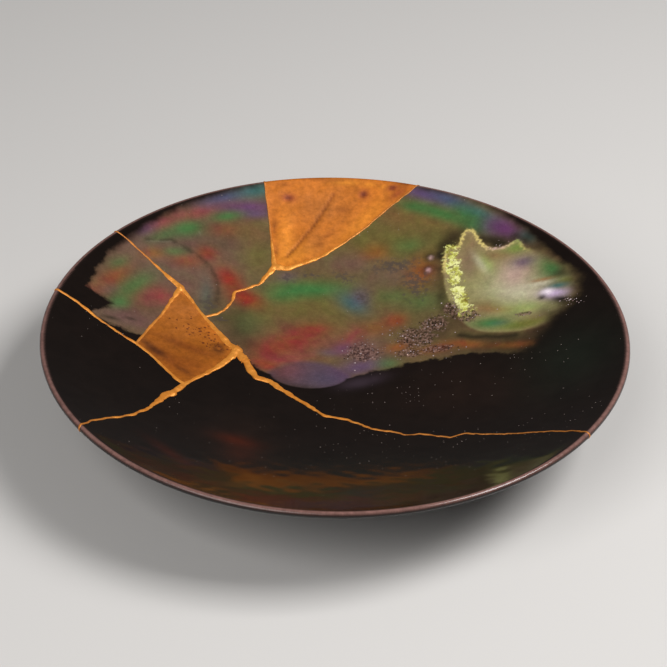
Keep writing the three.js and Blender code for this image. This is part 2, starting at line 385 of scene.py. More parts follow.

# The luster, brushed on cloud by cloud: colour, place, reach along and across, turn in degrees, strength
# Its colours are the glaze's own iridescence, laid where a light panel's reflection brings them out, so
# partly a painted reflection
LUSTER = [
    # Broad tones
    ("mauve", -52, 50, 28, 22, 40, 0.6), ("umber", -42, 63, 12, 8, 20, 0.3),
    ("umber", -68, 24, 8, 8, 0, 0.25), ("olive", 18, 62, 24, 12, -10, 0.5),
    # Left sherd
    ("rose", -77, 24, 4, 2.5, 30, 0.6), ("orange", -71, 33, 6.5, 2.6, 58, 0.7),
    ("green", -70.5, 39.5, 3.5, 1.6, 50, 0.5), ("mauve", -72, 26.5, 3, 2, 50, 0.5),
    ("green", -64.5, 31, 8, 3, 60, 0.9), ("green", -68.5, 22, 3.5, 2, 45, 0.9),
    ("rose", -61.5, 28, 5, 3.5, 55, 0.5), ("rose", -56, 31, 3.6, 3.2, 0, 0.9),
    ("mauve", -67, 15.5, 9, 4, 5, 0.7), ("umber", -70.6, 13.7, 2.2, 0.7, 10, 0.8),
    ("umber", -64.7, 16.3, 1.8, 0.6, 10, 0.7),
    # Back left sherd
    ("violet", -62.5, 58, 4, 1.8, 48, 0.7), ("rose", -57, 62, 6, 2.4, 40, 0.65),
    ("rose", -47.5, 68.3, 7, 2, 30, 0.75), ("blue", -38, 77.5, 8, 1.8, 25, 0.8),
    ("purple", -31, 75, 8, 2, 12, 0.9), ("violet", -27.5, 73, 4, 1.4, 10, 0.7),
    ("teal", -27.5, 82, 6, 2.4, 18, 0.95), ("green", -49.5, 62.3, 4.5, 2.4, 30, 0.95),
    ("green", -57, 57, 6, 2, 40, 0.55), ("green", -36.8, 70.3, 4.5, 1.6, 22, 0.85),
    ("orange", -37, 65, 5, 2.4, 15, 0.45), ("olive", -26, 56, 5, 7, 0, 0.5),
    ("ochre", -28, 66, 5, 4, 0, 0.5), ("red", -42.8, 54, 3, 2.4, 20, 0.7),
    ("red", -35, 44.8, 4.6, 3.2, -50, 0.95), ("orange", -59.7, 48.4, 3.6, 1.8, 30, 0.7),
    ("orange", -49.3, 49, 4.5, 2.4, 15, 0.6), ("green", -53.3, 51.5, 4, 1.6, 20, 0.6),
    ("teal", -42, 36, 2, 6, 0, 0.4), ("umber", -40, 31.5, 2, 2.5, 0, 0.4),
    ("umber", -37, 27, 2.5, 2.5, 0, 0.5),
    # Middle of the right sherd
    ("olive", -12, 36, 20, 8, 10, 0.5), ("green", -8, 44.4, 11, 3.2, 5, 0.95),
    ("green", -17, 41.5, 6, 3, 25, 0.7), ("teal", 5.5, 38.5, 5, 3, -45, 0.85),
    ("red", -29.3, 37.5, 4.8, 3.2, -20, 1), ("umber", -31, 24, 4, 9, 0, 0.5),
    ("green", -27.3, 24, 4, 7, 0, 0.3), ("umber", -27, 16, 4, 6, 0, 0.4),
    ("rose", -12, 18, 12, 7, 20, 0.5), ("red", -7, 26, 5, 2.6, 10, 0.5),
    ("red", -13, 20, 7, 4, 25, 0.5), ("red", -19.5, 14.5, 6, 4, 30, 0.5),
    ("rose", -16, 9.5, 7, 2.6, 15, 0.8), ("red", -22, 6.8, 4, 2.4, -20, 0.7),
    ("blue", -1.5, 14.7, 3, 1.6, 0, 0.35), ("rose", 5, 22, 5, 3, 55, 0.75),
    ("purple", 3, 16.5, 3, 2.4, 0, 0.7), ("orange", 13, 26.5, 4, 3, 20, 0.5),
    ("red", 19.7, 30, 3, 2.6, 20, 0.7), ("mauve", 9.5, 15, 6, 5, 20, 0.8),
    ("green", 16.7, 8.8, 3.4, 2.6, 0, 0.6), ("violet", 7.5, 7, 6, 3.2, 20, 0.7),
    ("violet", -16, 49.2, 3, 1.8, 15, 0.3), ("violet", 8, 41, 2.8, 3.6, 0, 0.5),
    ("mauve", 5, 56, 8, 4, 0, 0.5), ("mauve", 18, 50, 9, 5, 10, 0.5),
    ("green", 28.5, 37.5, 6, 4, 0, 0.45), ("green", 19, 41, 5, 3, 0, 0.4),
    ("orange", 20.3, 17, 3.5, 2, 10, 0.8), ("orange", 31.8, 14.6, 5, 1.6, 5, 0.9),
    ("umber", 33, 24, 6, 5, 20, 0.5),
    # Towards the back rim
    ("orange", 13.3, 60.4, 3.8, 2.6, 0, 0.75), ("green", 24, 62, 5, 2.6, 0, 0.5),
    ("orange", 28.3, 51.2, 3.4, 5, -15, 0.85), ("ochre", 19.5, 74.7, 6, 3, -30, 0.7),
    ("ochre", 31, 70.7, 6, 2, -25, 0.6), ("violet", 29, 81.4, 7, 2, -25, 0.9),
    ("blue", 38, 77.6, 7, 2, -33, 0.85), ("green", 26, 77, 4, 1.6, -20, 0.7),
    ("green", 35, 73, 8, 1.9, -28, 0.95), ("green", 44.5, 71, 6, 2, -38, 0.85),
    ("teal", 48, 70, 5, 1.8, -38, 0.9), ("green", 47, 66.5, 5, 2.8, -35, 0.95),
    ("violet", 52, 64.5, 4, 3, -38, 0.5), ("purple", 56, 62, 6, 3, -38, 1),
    ("teal", 63, 56.5, 3, 1.8, -40, 0.7), ("umber", 39, 63.2, 3, 2.4, 0, 0.8),
    ("umber", 51.5, 58.8, 4.5, 1.6, -10, 0.85), ("umber", 35, 58, 1.5, 4, 0, 0.6),
    ("umber", 34.5, 38, 1.2, 6, 0, 0.5),
    # Warm strip below the island
    ("umber", 54, 10, 14, 4, -15, 0.8), ("black", 70, 10, 10, 8, 40, 1),
    ("orange", 41.5, 15, 5, 1.6, -18, 0.8), ("orange", 56, 10, 6, 1.4, -15, 0.5),
    # Two bubbles left of the island, each a dark ring with a pale pink dot painted as its highlight
    ("umber", 31, 56.4, 1.8, 1.8, 0, 0.85), ("pink", 31.4, 56, 0.55, 0.6, 0, 1),
    ("umber", 30.2, 51.4, 1.5, 1.6, 0, 0.75), ("pink", 30.5, 50.9, 0.6, 0.7, 0, 1),
]
ISLAND_LUSTER = [
    ("lime", 52, 38, 12, 9, -20, 0.35), ("milk", 60, 34, 9, 5, -25, 0.7),
    ("mauve", 44, 50, 2.5, 5, 0, 0.4), ("ochre", 44, 60, 2.5, 3, 0, 0.3),
    ("orange", 53, 52, 4, 1.4, -10, 0.3), ("lime", 49.5, 49, 1.6, 4, 25, 0.7),
    ("milk", 47.5, 50, 1, 4, 25, 0.5), ("grass", 59.5, 53, 3.4, 2, 0, 0.95),
    ("pink", 58, 43, 5, 4, 0, 0.7), ("violet", 61.2, 46.5, 3.4, 2, -10, 0.7),
    ("green", 70, 40.5, 3.6, 5.5, 30, 0.9), ("umber", 72.5, 37, 3, 2, 0, 0.75),
    ("ochre", 48.5, 31, 4, 2.4, -15, 0.6), ("orange", 53, 28, 5, 1.2, -18, 0.5),
    ("lime", 60.5, 26, 6, 2.6, -15, 0.7), ("milk", 66, 35.2, 3.4, 0.9, -8, 0.8),
    ("orange", 66.5, 36.6, 3, 0.6, -8, 0.7), ("olive", 74, 33, 3, 1.2, -15, 0.8),
    ("green", 49.5, 22.8, 6, 2.4, -10, 0.95), ("teal", 53, 21.4, 3, 1.2, -15, 0.5),
    ("grass", 57.5, 19, 5, 1.8, -10, 0.8), ("olive", 62, 18.6, 6, 2, 0, 0.8),
    ("umber", 73, 24, 5, 2.6, -40, 0.9), ("umber", 68, 20, 4, 2, -50, 0.6),
    ("umber", 72.5, 46, 5, 2.4, -52, 0.8), ("umber", 76, 29, 2, 2.4, 0, 0.6),
    # The lilac and white clouds, with the teal one at their back edge, are a painted highlight on the lump
    # near 68 across and 30 back
    ("highlight_lilac", 69.8, 29.2, 3.4, 1.7, -20, 1), ("teal", 71.2, 32, 2.8, 1.1, -15, 0.95),
    ("highlight_white", 67.8, 30.6, 1.5, 1.1, -15, 1), ("black", 66, 28.7, 1.1, 0.8, 0, 0.95),
    ("black", 71.8, 25.6, 2.6, 0.8, -25, 0.9),
]
# Colours of the painted glint along the island's top edge
ISLAND_EDGE_GLINT = [
    ("pink", 53.5, 55.4, 3.4, 1.6, 0, 0.9), ("lime", 60, 56.2, 2, 2, 0, 0.9),
    ("lime", 37, 58.6, 2, 2, 0, 0.6),
]
LENS_LUSTER = [
    ("umber", -18, 0, 4, 3, 30, 0.5), ("umber", -11, -4, 8, 1.6, -5, 0.6),
    ("rose", -15, 5, 5, 5, 0, 0.35), ("purple", 4, 5, 5, 6, 0, 0.4), ("blue", -2, 1, 6, 3, 0, 0.25),
]

# Faint painted reflections on the dark glaze: the far wall's colours mirrored in the near wall, and a
# lavender sheen right of the lens
GROUND_REFLECTIONS = [
    ("moss", 72, -5, 14, 12, 60, 0.8), ("brown", -28, -40, 9, 12, 0, 0.5),
    ("brown", 40, -10, 18, 12, 0, 0.35), ("moss", 10, -60, 30, 12, 0, 0.4),
    ("lavender", 8.5, -0.5, 6, 2.2, 20, 0.3), ("russet", -28.5, -38, 5, 2.6, -15, 0.6),
    ("russet", -27, -46, 4, 5, 0, 0.25), ("russet", -46, -55, 8, 1.8, -45, 0.35),
]

# Where pits crowd, and where specks, froth with painted glints, and dust lie: place, reach along and
# across, and turn
GRITTY = [
    (26, 21, 5.5, 4.4), (32, 26.5, 4, 3.4), (37.5, 32, 2.4, 3), (24, 13.5, 4, 2), (32, 14.5, 5, 1.6),
    (8.8, 14.4, 5, 4.2), (43, 28, 3, 2.4), (60, 23.5, 3, 0.9, -15),
]
SPECKLED = [
    (-16, 48.6, 3.4, 2.4), (-9, 50.5, 5, 1.4), (2.6, 50, 4, 2.4, -30), (8.5, 41, 3.4, 4),
    (25.7, 42, 5.5, 1.6), (20, 54, 9, 4), (26, 46, 6, 8), (-41, 32.5, 2.6, 6), (-37, 26, 2.6, 2),
]
GLINTING_FROTH = [(53, 56, 2, 1), (74.5, 24, 3.2, 1.5, -40)]
DUSTY = [
    (44, 4, 14, 4), (14, -3, 10, 4), (24, -12, 14, 8), (60, 0, 10, 8), (72, 22, 5, 5), (8, -12, 10, 6),
    (-70, 8, 8, 4), (30, -40, 40, 14),
]


def linear(colour):
    """A colour on the screen's 0 to 255 scale as the light it stands for."""
    share = np.array(colour) / 255
    return np.where(share <= 0.04045, share / 12.92, ((share + 0.055) / 1.055) ** 2.4)


def cloud(places, x, y, along, across, turn=0):
    """A soft round or long cloud: 1 in its middle, half at its reach, fading outwards."""
    turn = math.radians(turn)
    offset = places - (x, y)
    first = offset @ (math.cos(turn), math.sin(turn)) / along
    second = offset @ (-math.sin(turn), math.cos(turn)) / across
    return 0.5 ** (first**2 + second**2)


def brushed(places, ground, clouds):
    """Colours of the glaze at each place, clouds over a ground colour."""
    colours = np.tile(linear(COLOURS[ground]), (len(places), 1))
    for colour, x, y, along, across, turn, strength in clouds:
        share = strength * cloud(places, x, y, along, across, turn)[:, None]
        colours += share * (linear(COLOURS[colour]) - colours)
    return colours


def blended(first, second, share):
    """Colours from first to second."""
    return first + share[:, None] * (second - first)


def crowding(places, clouds):
    """The strongest of several clouds at each place."""
    return np.max([cloud(places, *given) for given in clouds], axis=0)


def lens_depth(places):
    """Distance inside the edge of the lavender lens, roughly."""
    share = np.hypot(*((places - LENS_CENTRE) / LENS_REACH).T)
    return (1 - share) * min(LENS_REACH)


# The plan map: one net of points for every piece

def rings(radii, spacing):
    """Points round each radius, about spacing apart and staggered from ring to ring."""
    made = []
    for i, radius in enumerate(radii):
        count = max(int(2 * math.pi * radius / spacing), 1)
        angle = (np.arange(count) + 0.5 * (i % 2)) * 2 * math.pi / count
        made.append(radius * np.column_stack([np.cos(angle), np.sin(angle)]))
    return np.vstack(made)


def glaze_points():
    """Points of the broad surfaces, closer together where the glaze has relief."""
    foot = foot_line()[1:, 0]
    foot_ring = np.concatenate([foot, foot[:-1] + np.diff(foot) / 2, FOOT_RADIUS + np.array([0.5, 1.1])])
    foot_ring.sort()
    floor = np.arange(0, foot_ring[0] - GRID / 2, GRID)
    wall = np.arange(foot_ring[-1] + GRID, LIP_CENTRE_RADIUS - LIP_ROUND, GRID)
    lip = LIP_CENTRE_RADIUS + LIP_ROUND * np.cos(np.radians(LIP_ANGLES))
    broad = rings(np.concatenate([floor, foot_ring, wall, lip]), GRID)
    side = np.arange(-RIM_RADIUS, RIM_RADIUS, FINE_GRID)
    fine = np.array(np.meshgrid(side, side)).reshape(2, -1).T
    fine[:, 0] += np.where(np.arange(len(fine)) // len(side) % 2, FINE_GRID / 2, 0)
    edge = np.abs(depth_inside(fine, ISLAND)) < ISLAND_FINE
    edge |= np.minimum(line_distance(fine, VEIN), line_distance(fine, SHORE)) < LINE_FINE
    edge |= np.abs(lens_depth(fine)) < LENS_FINE
    edge |= crowding(fine, GRITTY) > GRIT_FINE
    return broad, fine[edge & (np.hypot(*fine.T) < LIP_CENTRE_RADIUS - LIP_THICKNESS)]


def seam_points():
    """Rows of points along and across every seam, and the stretches of its two edges."""
    rows = []
    stretches = []
    count = 0
    for line, half in seam_lines:
        along = np.gradient(line, axis=0)
        along /= np.linalg.norm(along, axis=1, keepdims=True)
        across = np.column_stack([-along[:, 1], along[:, 0]]) * half[:, None]
        for share in SEAM_ROWS:
            row = line + share * across
            inside = np.hypot(*row.T) < RIM_RADIUS - EDGE_RIM_MARGIN
            if abs(share) == 1:
                outside = seam_gap(row)[0] > -EDGE_OVERLAP
                kept = inside & outside
                row_numbers = count + np.cumsum(kept) - 1
                both = kept[:-1] & kept[1:]
                stretches += list(zip(row_numbers[:-1][both], row_numbers[1:][both]))
                crossing = np.flatnonzero(inside[:-1] != inside[1:])
            else:
                kept = inside
                crossing = []
            rows.append(row[kept])
            count += int(kept.sum())
            for i in crossing:
                meet = row[i] if inside[i + 1] else row[i + 1]
                rows.append((meet * (RIM_RADIUS / np.hypot(*meet)))[None])
                count += 1
        for i in (0, -1):
            ring = line[i] + half[i] * rings([1], 2 * math.pi / END_POINTS)
            kept = seam_gap(ring)[0] > -END_OVERLAP
            kept &= np.hypot(*ring.T) < RIM_RADIUS - END_RIM_MARGIN
            rows.append(ring[kept])
            count += int(kept.sum())
    return np.vstack(rows), stretches


def plan_map():
    """All points of the plan and the triangles between them, turned the same way."""
    seams, stretches = seam_points()
    broad, fine = glaze_points()
    free = np.vstack([broad, fine])
    gap = seam_gap(free)[0]
    at_rim = np.hypot(*free.T) > RIM_RADIUS - 1e-6
    kept = free[(gap > SEAM_CLEARANCE) | (at_rim & (np.abs(gap) > RIM_CLEARANCE))]
    places = np.vstack([seams, kept])
    edges = [(int(a), int(b)) for a, b in stretches]
    made = delaunay_2d_cdt([Vector(p) for p in places], edges, [], 0, 1e-5)
    points = np.array([v[:] for v in made[0]])
    triangles = np.array([face for face in made[2] if len(face) == 3])
    a, b, c = (points[triangles[:, i]] for i in range(3))
    area = (b - a)[:, 0] * (c - a)[:, 1] - (b - a)[:, 1] * (c - a)[:, 0]
    triangles[area < 0] = triangles[area < 0][:, ::-1]
    triangles = triangles[np.abs(area) > 1e-7]
    return points, triangles


PIECE_PLACES = {
    "sherd_left": (-70, 25),
    "sherd_back_left": (-38, 60),
    "sherd_right": (30, 20),
    "sherd_front": (0, -60),
    "sherd_front_left": (-70, -15),
    "rim_fill": (0, 78),
    "well_fill": (-47, 15),
}


def parted(points, triangles):
    """Each piece's triangles: the gold seams, and what the seams part from one another."""
    middle = points[triangles].mean(1)
    gold = seam_gap(middle)[0] < 0
    sides = np.vstack([triangles[:, [0, 1]], triangles[:, [1, 2]], triangles[:, [2, 0]]])
    sides.sort(axis=1)
    owner = np.tile(np.arange(len(triangles)), 3)
    order = np.lexsort(sides.T)
    same = (sides[order][:-1] == sides[order][1:]).all(1)
    pairs = np.column_stack([owner[order][:-1][same], owner[order][1:][same]])
    pairs = pairs[~gold[pairs].any(1)]
    label = np.arange(len(triangles))
    while True:
        lowest = label.copy()
        np.minimum.at(lowest, pairs[:, 0], label[pairs[:, 1]])
        np.minimum.at(lowest, pairs[:, 1], label[pairs[:, 0]])
        lowest = lowest[lowest]
        if (lowest == label).all():
            break
        label = lowest
    pieces = {}
    for name, place in PIECE_PLACES.items():
        start = np.argmin(np.where(gold, np.inf, np.sum((middle - place) ** 2, axis=1)))
        pieces[name] = label == label[start]
    pieces["gold_seams"] = ~np.any(list(pieces.values()), axis=0)
    return {name: triangles[mine] for name, mine in pieces.items()}


points, triangles = plan_map()
piece_triangles = parted(points, triangles)
radius = np.hypot(*points.T)
heading = points / np.maximum(radius, 1e-9)[:, None]
at_rim = radius > RIM_RADIUS - 1e-3


# Reliefs, in millimetres off the plain dish

away_from_rim = 1 - smooth_step(radius, RIM_RADIUS - 5, RIM_RADIUS - 2)
gold_gap, gold_half = seam_gap(points)
pool_depth = np.maximum(depth_inside(points, LUSTER_REFLECTION_POOL), lens_depth(points))
island_depth = depth_inside(points, ISLAND)
vein_gap = line_distance(points, VEIN)
grit = crowding(points, GRITTY)

PIT_SEED = 7
PIT_COUNT = 420
LUMPS = [
    (66.5, 30.5, 1.3, 0.35), (71, 27.5, 1.0, 0.3), (30.3, 51.2, 1.1, 0.4), (31.2, 56.3, 1.1, 0.4),
    (-46, 62, 0.9, 0.3), (-38, 47, 0.7, 0.25),
]


def glaze_relief():
    """Slow waves, the thick edges of the pools, and pits and bubbles in the gritty patches."""
    height = 0.025 * swells(points, 17, 1) + 0.008 * swells(points, 5, 2)
    height += 0.1 * ridge(pool_depth, 1.1)
    height += 0.2 * smooth_step(island_depth, -0.3, 1.2) + 0.12 * ridge(island_depth, 0.8)
    height += 0.1 * ridge(vein_gap, 0.7)
    draw = np.random.default_rng(PIT_SEED)
    tries = draw.uniform((0, -5), (50, 62), (4000, 2))
    chosen = tries[draw.uniform(0.25, 1, len(tries)) < crowding(tries, GRITTY)][:PIT_COUNT]
    for place in chosen:
        size = draw.uniform(0.25, 0.6)
        deep = draw.uniform(-0.22, 0.14)
        near = np.flatnonzero(np.abs(points - place).max(1) < 3 * size)
        apart = np.hypot(*(points[near] - place).T) / size
        height[near] += deep * np.exp(-apart**2) - 0.5 * deep * np.exp(-((apart - 1.5) ** 2) * 4)
    for x, y, size, tall in LUMPS:
        apart = np.hypot(points[:, 0] - x, points[:, 1] - y) / size
        height += tall * np.exp(-apart**4) - 0.9 * tall * ridge(apart, 0.45)
    return height * away_from_rim


def bead_relief():
    """The rounded back of the gold, higher where the seam is wider."""
    depth = np.clip(-gold_gap / np.maximum(gold_half, 1e-6), 0, 1)
    dome = np.sqrt(1 - (1 - depth) ** 2)
    peak = BEAD_LEAST + BEAD_SHARE * gold_half
    lumps = 1 + 0.16 * swells(points, 3.2, 3) + 0.1 * swells(points, 1.3, 4)
    return BEAD_EDGE + (peak - BEAD_EDGE) * dome * np.clip(lumps, 0.5, 1.4)


# The wedge's scored line and its pits
GROOVE = [(-16.5, 57.5), (-14, 61), (-7.2, 71.6), (-3.5, 78.5), (-1, 83)]
WEDGE_PITS = [(-16.5, 80.7), (9, 82.9), (18.8, 84.7)]

# Tones of the two fills, brushed on like the luster's
WEDGE_TONES = [
    ("bright_gold", -13, 59, 9, 3, 30, 0.7), ("bright_gold", 9, 73, 10, 2.4, 45, 0.6),
    ("bright_gold", -17, 65, 2.4, 8, 0, 0.6), ("tan", -4, 78, 9, 6, 0, 0.7),
    # The bright gold spots along the rim, at 3, 11 and 16 across, are painted highlights
    ("tan", -6, 64, 5, 4, 40, 0.6), ("bright_gold", 3, 87.4, 4, 1, 0, 0.8),
    ("bright_gold", 11, 86.4, 1.6, 0.7, 0, 0.7), ("bright_gold", 16, 85.2, 1.4, 0.7, 0, 0.7),
    ("rust", -18, 85.5, 2, 0.8, 0, 0.5), ("rust", -2, 88.2, 8, 0.5, 0, 0.5),
    ("rust", 23, 86, 2.4, 1, -10, 0.8), ("rust", -20.9, 68.8, 0.8, 3, 0, 0.6),
    ("rust", -20.3, 59.6, 0.7, 2, 0, 0.6), ("rust", 2.1, 77, 2.4, 1.2, 0, 0.45),
    ("rust", -3.2, 67, 2.6, 0.9, 35, 0.55), ("rust", -5.5, 63.3, 1.6, 0.9, 35, 0.5),
    ("wine", 20.5, 82.4, 3, 1.2, 30, 0.6), ("wine", -16.5, 80.7, 1.9, 1.2, 0, 0.9),
    ("wine", 9, 82.9, 1.3, 1.2, 0, 0.9), ("wine", 18.8, 84.7, 1.6, 0.9, 0, 0.9),
    ("soot", -16.7, 80.7, 0.9, 0.6, 0, 0.7), ("soot", 9, 83, 0.7, 0.7, 0, 0.7),
    ("soot", 18.8, 84.8, 0.9, 0.5, 0, 0.7),
]
WELL_TONES = [
    ("tan", -49, 25, 6, 8, 0, 0.45), ("gold", -39.5, 19.5, 5, 2, -55, 0.8),
    ("gold", -40, 0.6, 7, 1.4, 55, 0.7), ("rust", -46, 9.6, 9, 2, -14, 0.8),
    ("rust", -51, 1, 8, 3, -42, 0.7), ("rust", -44, 1.5, 6, 4, -20, 0.6),
    ("soot", -57, 5, 4.4, 1.5, -38, 0.8), ("soot", -55, 3.4, 1.6, 1.2, 0, 0.6),
    ("soot", -46.4, -3, 3, 1, -30, 0.5), ("soot", -36.8, 11.8, 1.5, 2, 0, 1),
    ("gold", -36.8, 11.8, 0.5, 0.6, 0, 0.9),
]
PITTED = [(-44, 19, 4, 2.4, -20), (-40, 17, 4, 2.4, -30), (-37.5, 14, 2.5, 3, 0)]


def fill_relief():
    """Hand-laid lacquer: uneven, with one scored line and a few pits in the wedge."""
    height = 0.05 + 0.045 * swells(points, 9, 5) + 0.02 * swells(points, 3, 6)
    scored = line_distance(points, GROOVE)
    height += 0.07 * ridge(scored, 1.6) - 0.22 * ridge(scored, 0.5)
    for x, y in WEDGE_PITS:
        apart = np.hypot(points[:, 0] - x, points[:, 1] - y)
        height -= 0.14 * ridge(apart, 0.9)
    return height * away_from_rim


def surfaces(top_relief, low_relief, lowest):
    """Every point's places on the inside and underside, off the plain dish by the reliefs."""
    made = []
    for profile, side, relief in ((INSIDE, 1, top_relief), (UNDERSIDE, -1, low_relief)):
        height, radial, up = on_profile(profile, radius, side)
        radial = np.where(at_rim, 1, radial)
        up = np.where(at_rim, 0, up)
        flat = heading * (radius + radial * relief)[:, None]
        made.append(np.column_stack([flat, np.maximum(height + up * relief, lowest)]) * MM)
    return made


# Meshes

def closed_faces(corners, top_number, low_number):
    """Faces of a closed solid over a patch of the plan: top, underside and the walls round its edge."""
    faces = [tuple(top_number[t]) for t in corners]
    faces += [tuple(low_number[t][::-1]) for t in corners]
    edges = np.vstack([corners[:, [0, 1]], corners[:, [1, 2]], corners[:, [2, 0]]]).astype(np.int64)
    forward = edges[:, 0] * len(points) + edges[:, 1]
    backward = edges[:, 1] * len(points) + edges[:, 0]
    for a, b in edges[~np.isin(forward, backward)]:
        wall = dict.fromkeys((top_number[b], top_number[a], low_number[a], low_number[b]))
        if len(wall) > 2:
            faces.append(tuple(wall))
    return faces


def add_field(mesh, name, values):
    """Numbers or colours at a mesh's points, for its material to read."""
    if values.ndim == 1:
        layer = mesh.attributes.new(name, "FLOAT", "POINT")
        layer.data.foreach_set("value", values)
    else:
        layer = mesh.attributes.new(name, "FLOAT_COLOR", "POINT")
        layer.data.foreach_set("color", np.column_stack([values, np.ones(len(values))]).ravel())


def make_piece(name, top, low, fields, material):
    """One closed piece that stands for the node of its name."""
    corners = piece_triangles[name]
    used = np.unique(corners)
    below = used[~at_rim[used]]
    top_number = np.full(len(points), -1)
    top_number[used] = np.arange(len(used))
    low_number = top_number.copy()
    low_number[below] = len(used) + np.arange(len(below))
    mesh = bpy.data.meshes.new(name)
    places = np.vstack([top[used], low[below]])
    mesh.from_pydata(places.tolist(), [], closed_faces(corners, top_number, low_number))
    mesh.shade_smooth()
    mesh.set_sharp_from_angle(angle=math.radians(SHARP_ANGLE))
    for field, (top_values, low_values) in fields.items():
        add_field(mesh, field, np.concatenate([top_values[used], low_values[below]]))
    mesh.materials.append(material)
    piece = bpy.data.objects.new(name + "_dressed", mesh)
    bpy.context.collection.objects.link(piece)
    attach(piece, "root")
    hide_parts(name)
    return piece


# Materials, with their plain colours and ramps on the same scale as the glaze's

YELLOWS = [(130, 112, 48), (206, 206, 96), (255, 255, 176)]
CRUST = [(38, 27, 22), (92, 66, 56), (144, 112, 102)]
SEAM_GOLDS = [(190, 104, 30), (222, 136, 46), (238, 156, 62), (250, 186, 100)]
SPECK = (80, 70, 66)
HOLE = (28, 21, 19)
FROTH_GLINT_GREY = (120, 96, 94)
FROTH_GLINT_WHITE = (210, 192, 194)
VEIN_DARK = (42, 38, 28)
DUST = (176, 160, 152)
WORN_LIP_SHEEN = (146, 108, 100)
CLAY = (112, 84, 66)
PALE_CLAY = (146, 116, 92)
SEAM_GRAIN = (160, 88, 34)
THIN_DARK = (150, 82, 30)
THIN_PALE = (206, 132, 66)
FILL_PIT = (96, 40, 14)


def paint(colour):
    """A plain colour for a node's socket, given on the screen's 0 to 255 scale."""
    return (*linear(colour), 1)


class Shade:
    """Short calls that add the nodes of one material."""

    def __init__(self, name):
        self.material = bpy.data.materials.new(name)
        self.material.use_nodes = True
        self.nodes = self.material.node_tree.nodes
        self.links = self.material.node_tree.links
        self.shader = self.nodes["Principled BSDF"]
        self.place = self.nodes.new("ShaderNodeTexCoord").outputs["Object"]

    def feed(self, socket, value):
        if isinstance(value, bpy.types.NodeSocket):
            self.links.new(value, socket)
        else:
            socket.default_value = value

    def attribute(self, name, output="Fac"):
        node = self.nodes.new("ShaderNodeAttribute")
        node.attribute_name = name
        return node.outputs[output]

    def maths(self, operation, first, second=0.0, third=0.0):
        node = self.nodes.new("ShaderNodeMath")
        node.operation = operation
        for socket, value in zip(node.inputs, (first, second, third)):
            self.feed(socket, value)
        return node.outputs[0]

    def noise(self, size, detail=3.0, rough=0.55, distortion=0.0):
        """Noise of about 0 to 1 whose largest swells are about size millimetres across."""
        node = self.nodes.new("ShaderNodeTexNoise")
        self.feed(node.inputs["Vector"], self.place)
        node.inputs["Scale"].default_value = 1 / (size * MM)
        node.inputs["Detail"].default_value = detail
        node.inputs["Roughness"].default_value = rough
        node.inputs["Distortion"].default_value = distortion
        return node.outputs["Fac"]

    def dots(self, spacing, share, least, most):
        """Round dots from least to most across, on a share of the cells of a scatter."""
        node = self.nodes.new("ShaderNodeTexVoronoi")
        node.voronoi_dimensions = "2D"
        self.feed(node.inputs["Vector"], self.place)
        node.inputs["Scale"].default_value = 1 / (spacing * MM)
        drawn = self.nodes.new("ShaderNodeSeparateColor")
        self.feed(drawn.inputs["Color"], node.outputs["Color"])
        chosen = self.maths("LESS_THAN", drawn.outputs["Red"], share)
        reach = self.between(drawn.outputs["Green"], least / 2 / spacing, most / 2 / spacing)
        depth = self.maths("SUBTRACT", reach, node.outputs["Distance"])
        return self.maths("MULTIPLY", chosen, self.step(depth, 0, 0.1 * most / spacing))

    def step(self, value, low, high):
        """0 below low, 1 above high, smooth between."""
        node = self.nodes.new("ShaderNodeMapRange")
        node.interpolation_type = "SMOOTHSTEP"
        for key, given in (("Value", value), ("From Min", low), ("From Max", high)):
            self.feed(node.inputs[key], given)
        return node.outputs["Result"]

    def blend(self, share, first, second):
        """A colour from first to second."""
        node = self.nodes.new("ShaderNodeMix")
        node.data_type = "RGBA"
        colours = [socket for socket in node.inputs if socket.type == "RGBA"]
        self.feed(node.inputs["Factor"], share)
        self.feed(colours[0], first)
        self.feed(colours[1], second)
        return next(socket for socket in node.outputs if socket.type == "RGBA")

    def tint(self, colour, hue=0.5, value=1.0):
        """A colour turned in hue, where 0.5 leaves it as it is, and made lighter or darker."""
        node = self.nodes.new("ShaderNodeHueSaturation")
        for key, given in (("Hue", hue), ("Value", value), ("Color", colour)):
            self.feed(node.inputs[key], given)
        return node.outputs["Color"]

    def between(self, share, first, second):
        """A number from first to second."""
        return self.maths("MULTIPLY_ADD", share, second - first, first)

    def ramp(self, value, colours):
        node = self.nodes.new("ShaderNodeValToRGB")
        self.feed(node.inputs[0], value)
        stops = node.color_ramp.elements
        while len(stops) < len(colours):
            stops.new(0.5)
        for i, colour in enumerate(colours):
            stops[i].position = i / (len(colours) - 1)
            stops[i].color = paint(colour)
        return node.outputs["Color"]

    def bump(self, height, strength, distance):
        node = self.nodes.new("ShaderNodeBump")
        node.inputs["Strength"].default_value = strength
        node.inputs["Distance"].default_value = distance * MM
        self.feed(node.inputs["Height"], height)
        self.feed(self.shader.inputs["Normal"], node.outputs["Normal"])

    def finish(self, **inputs):
        for key, value in inputs.items():
            self.feed(self.shader.inputs[key.replace("_", " ")], value)
        return self.material


